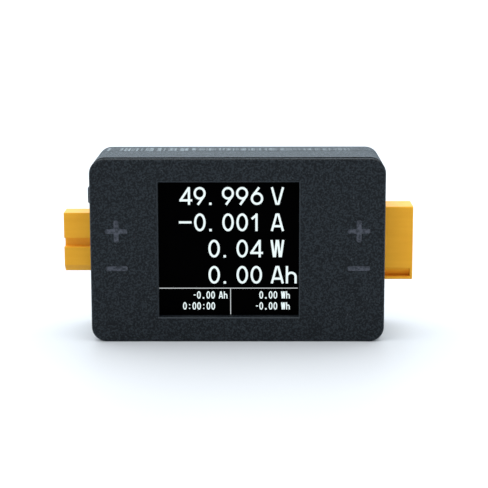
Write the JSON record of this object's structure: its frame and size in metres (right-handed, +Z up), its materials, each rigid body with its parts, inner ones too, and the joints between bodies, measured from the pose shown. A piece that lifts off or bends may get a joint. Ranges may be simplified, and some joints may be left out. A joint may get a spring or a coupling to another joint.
{
  "type": "inline dc power meter",
  "caption": "Palm-sized inline DC power meter: dark box with a recessed screen, a keyed yellow plug on the left, its matching socket on the right and a side push button.",
  "frame": {"origin": "centre of the footprint, on the surface that the meter stands on", "axes": "+Z up; +X from the plug towards the socket; +Y from the screen towards the rear cover, so the screen faces -Y"},
  "size_m": [0.0766, 0.0216, 0.0397],
  "materials": {
    "case_plastic": "fine-grained dark moulded nylon",
    "mark_fill": "matt pale violet-grey fill",
    "connector_nylon": "satin golden-yellow nylon",
    "contact_gold": "polished, gold plated",
    "screw_steel": "satin",
    "tinned_metal": "bright tin",
    "switch_plastic": "matt",
    "black_moulding": "matt epoxy",
    "foam": "closed-cell foam",
    "screen_glass": "polished, black behind",
    "white_plastic": "matt",
    "light_plate": "clear, printed dots behind",
    "flex_film": "amber film",
    "board_laminate": "green solder mask",
    "copper": "bare copper",
    "shunt_alloy": "brushed",
    "ferrite": "matt grey",
    "capacitor_can": "drawn aluminium",
    "chip_ceramic": "fired ceramic, tinned ends"
  },
  "bodies": {
    "case": {"front_shell": "case_plastic", "rear_cover": "case_plastic", "case_screws": "screw_steel", "polarity_marks": "mark_fill", "switch_body": "black_moulding", "switch_cover": "tinned_metal", "switch_dome": "tinned_metal", "switch_terminals": "tinned_metal", "display_gasket": "foam", "display_glass": "screen_glass", "display_frame": "white_plastic", "light_guide": "light_plate", "display_flex": "flex_film", "flex_connector": "white_plastic", "display_foam": "foam", "plug_housing": "connector_nylon", "plug_contacts": "contact_gold", "socket_housing": "connector_nylon", "socket_pins": "contact_gold", "main_board": "board_laminate", "positive_busbar": "copper", "negative_busbars": "copper", "current_shunt": "shunt_alloy", "solder_joints": "tinned_metal", "microcontroller": "black_moulding", "microcontroller_leads": "tinned_metal", "current_amplifier": "black_moulding", "amplifier_leads": "tinned_metal", "memory_chip": "black_moulding", "memory_leads": "tinned_metal", "buck_regulator": "black_moulding", "regulator_leads": "tinned_metal", "power_inductor": "ferrite", "inductor_winding": "copper", "rectifier_diode": "black_moulding", "diode_terminals": "tinned_metal", "bulk_capacitors": "capacitor_can", "capacitor_bases": "black_moulding", "quartz_crystal": "capacitor_can", "chip_resistors": "black_moulding", "chip_capacitors": "chip_ceramic"},
    "button": {"side_button": "case_plastic", "switch_plunger": "switch_plastic"}
  },
  "joints": [
    {"name": "button_press", "type": "slide", "parent": "case", "child": "button", "axis": [1, 0, 0], "range_m": [0, 0.0003], "stiffness_N_per_m": 5000}
  ]
}
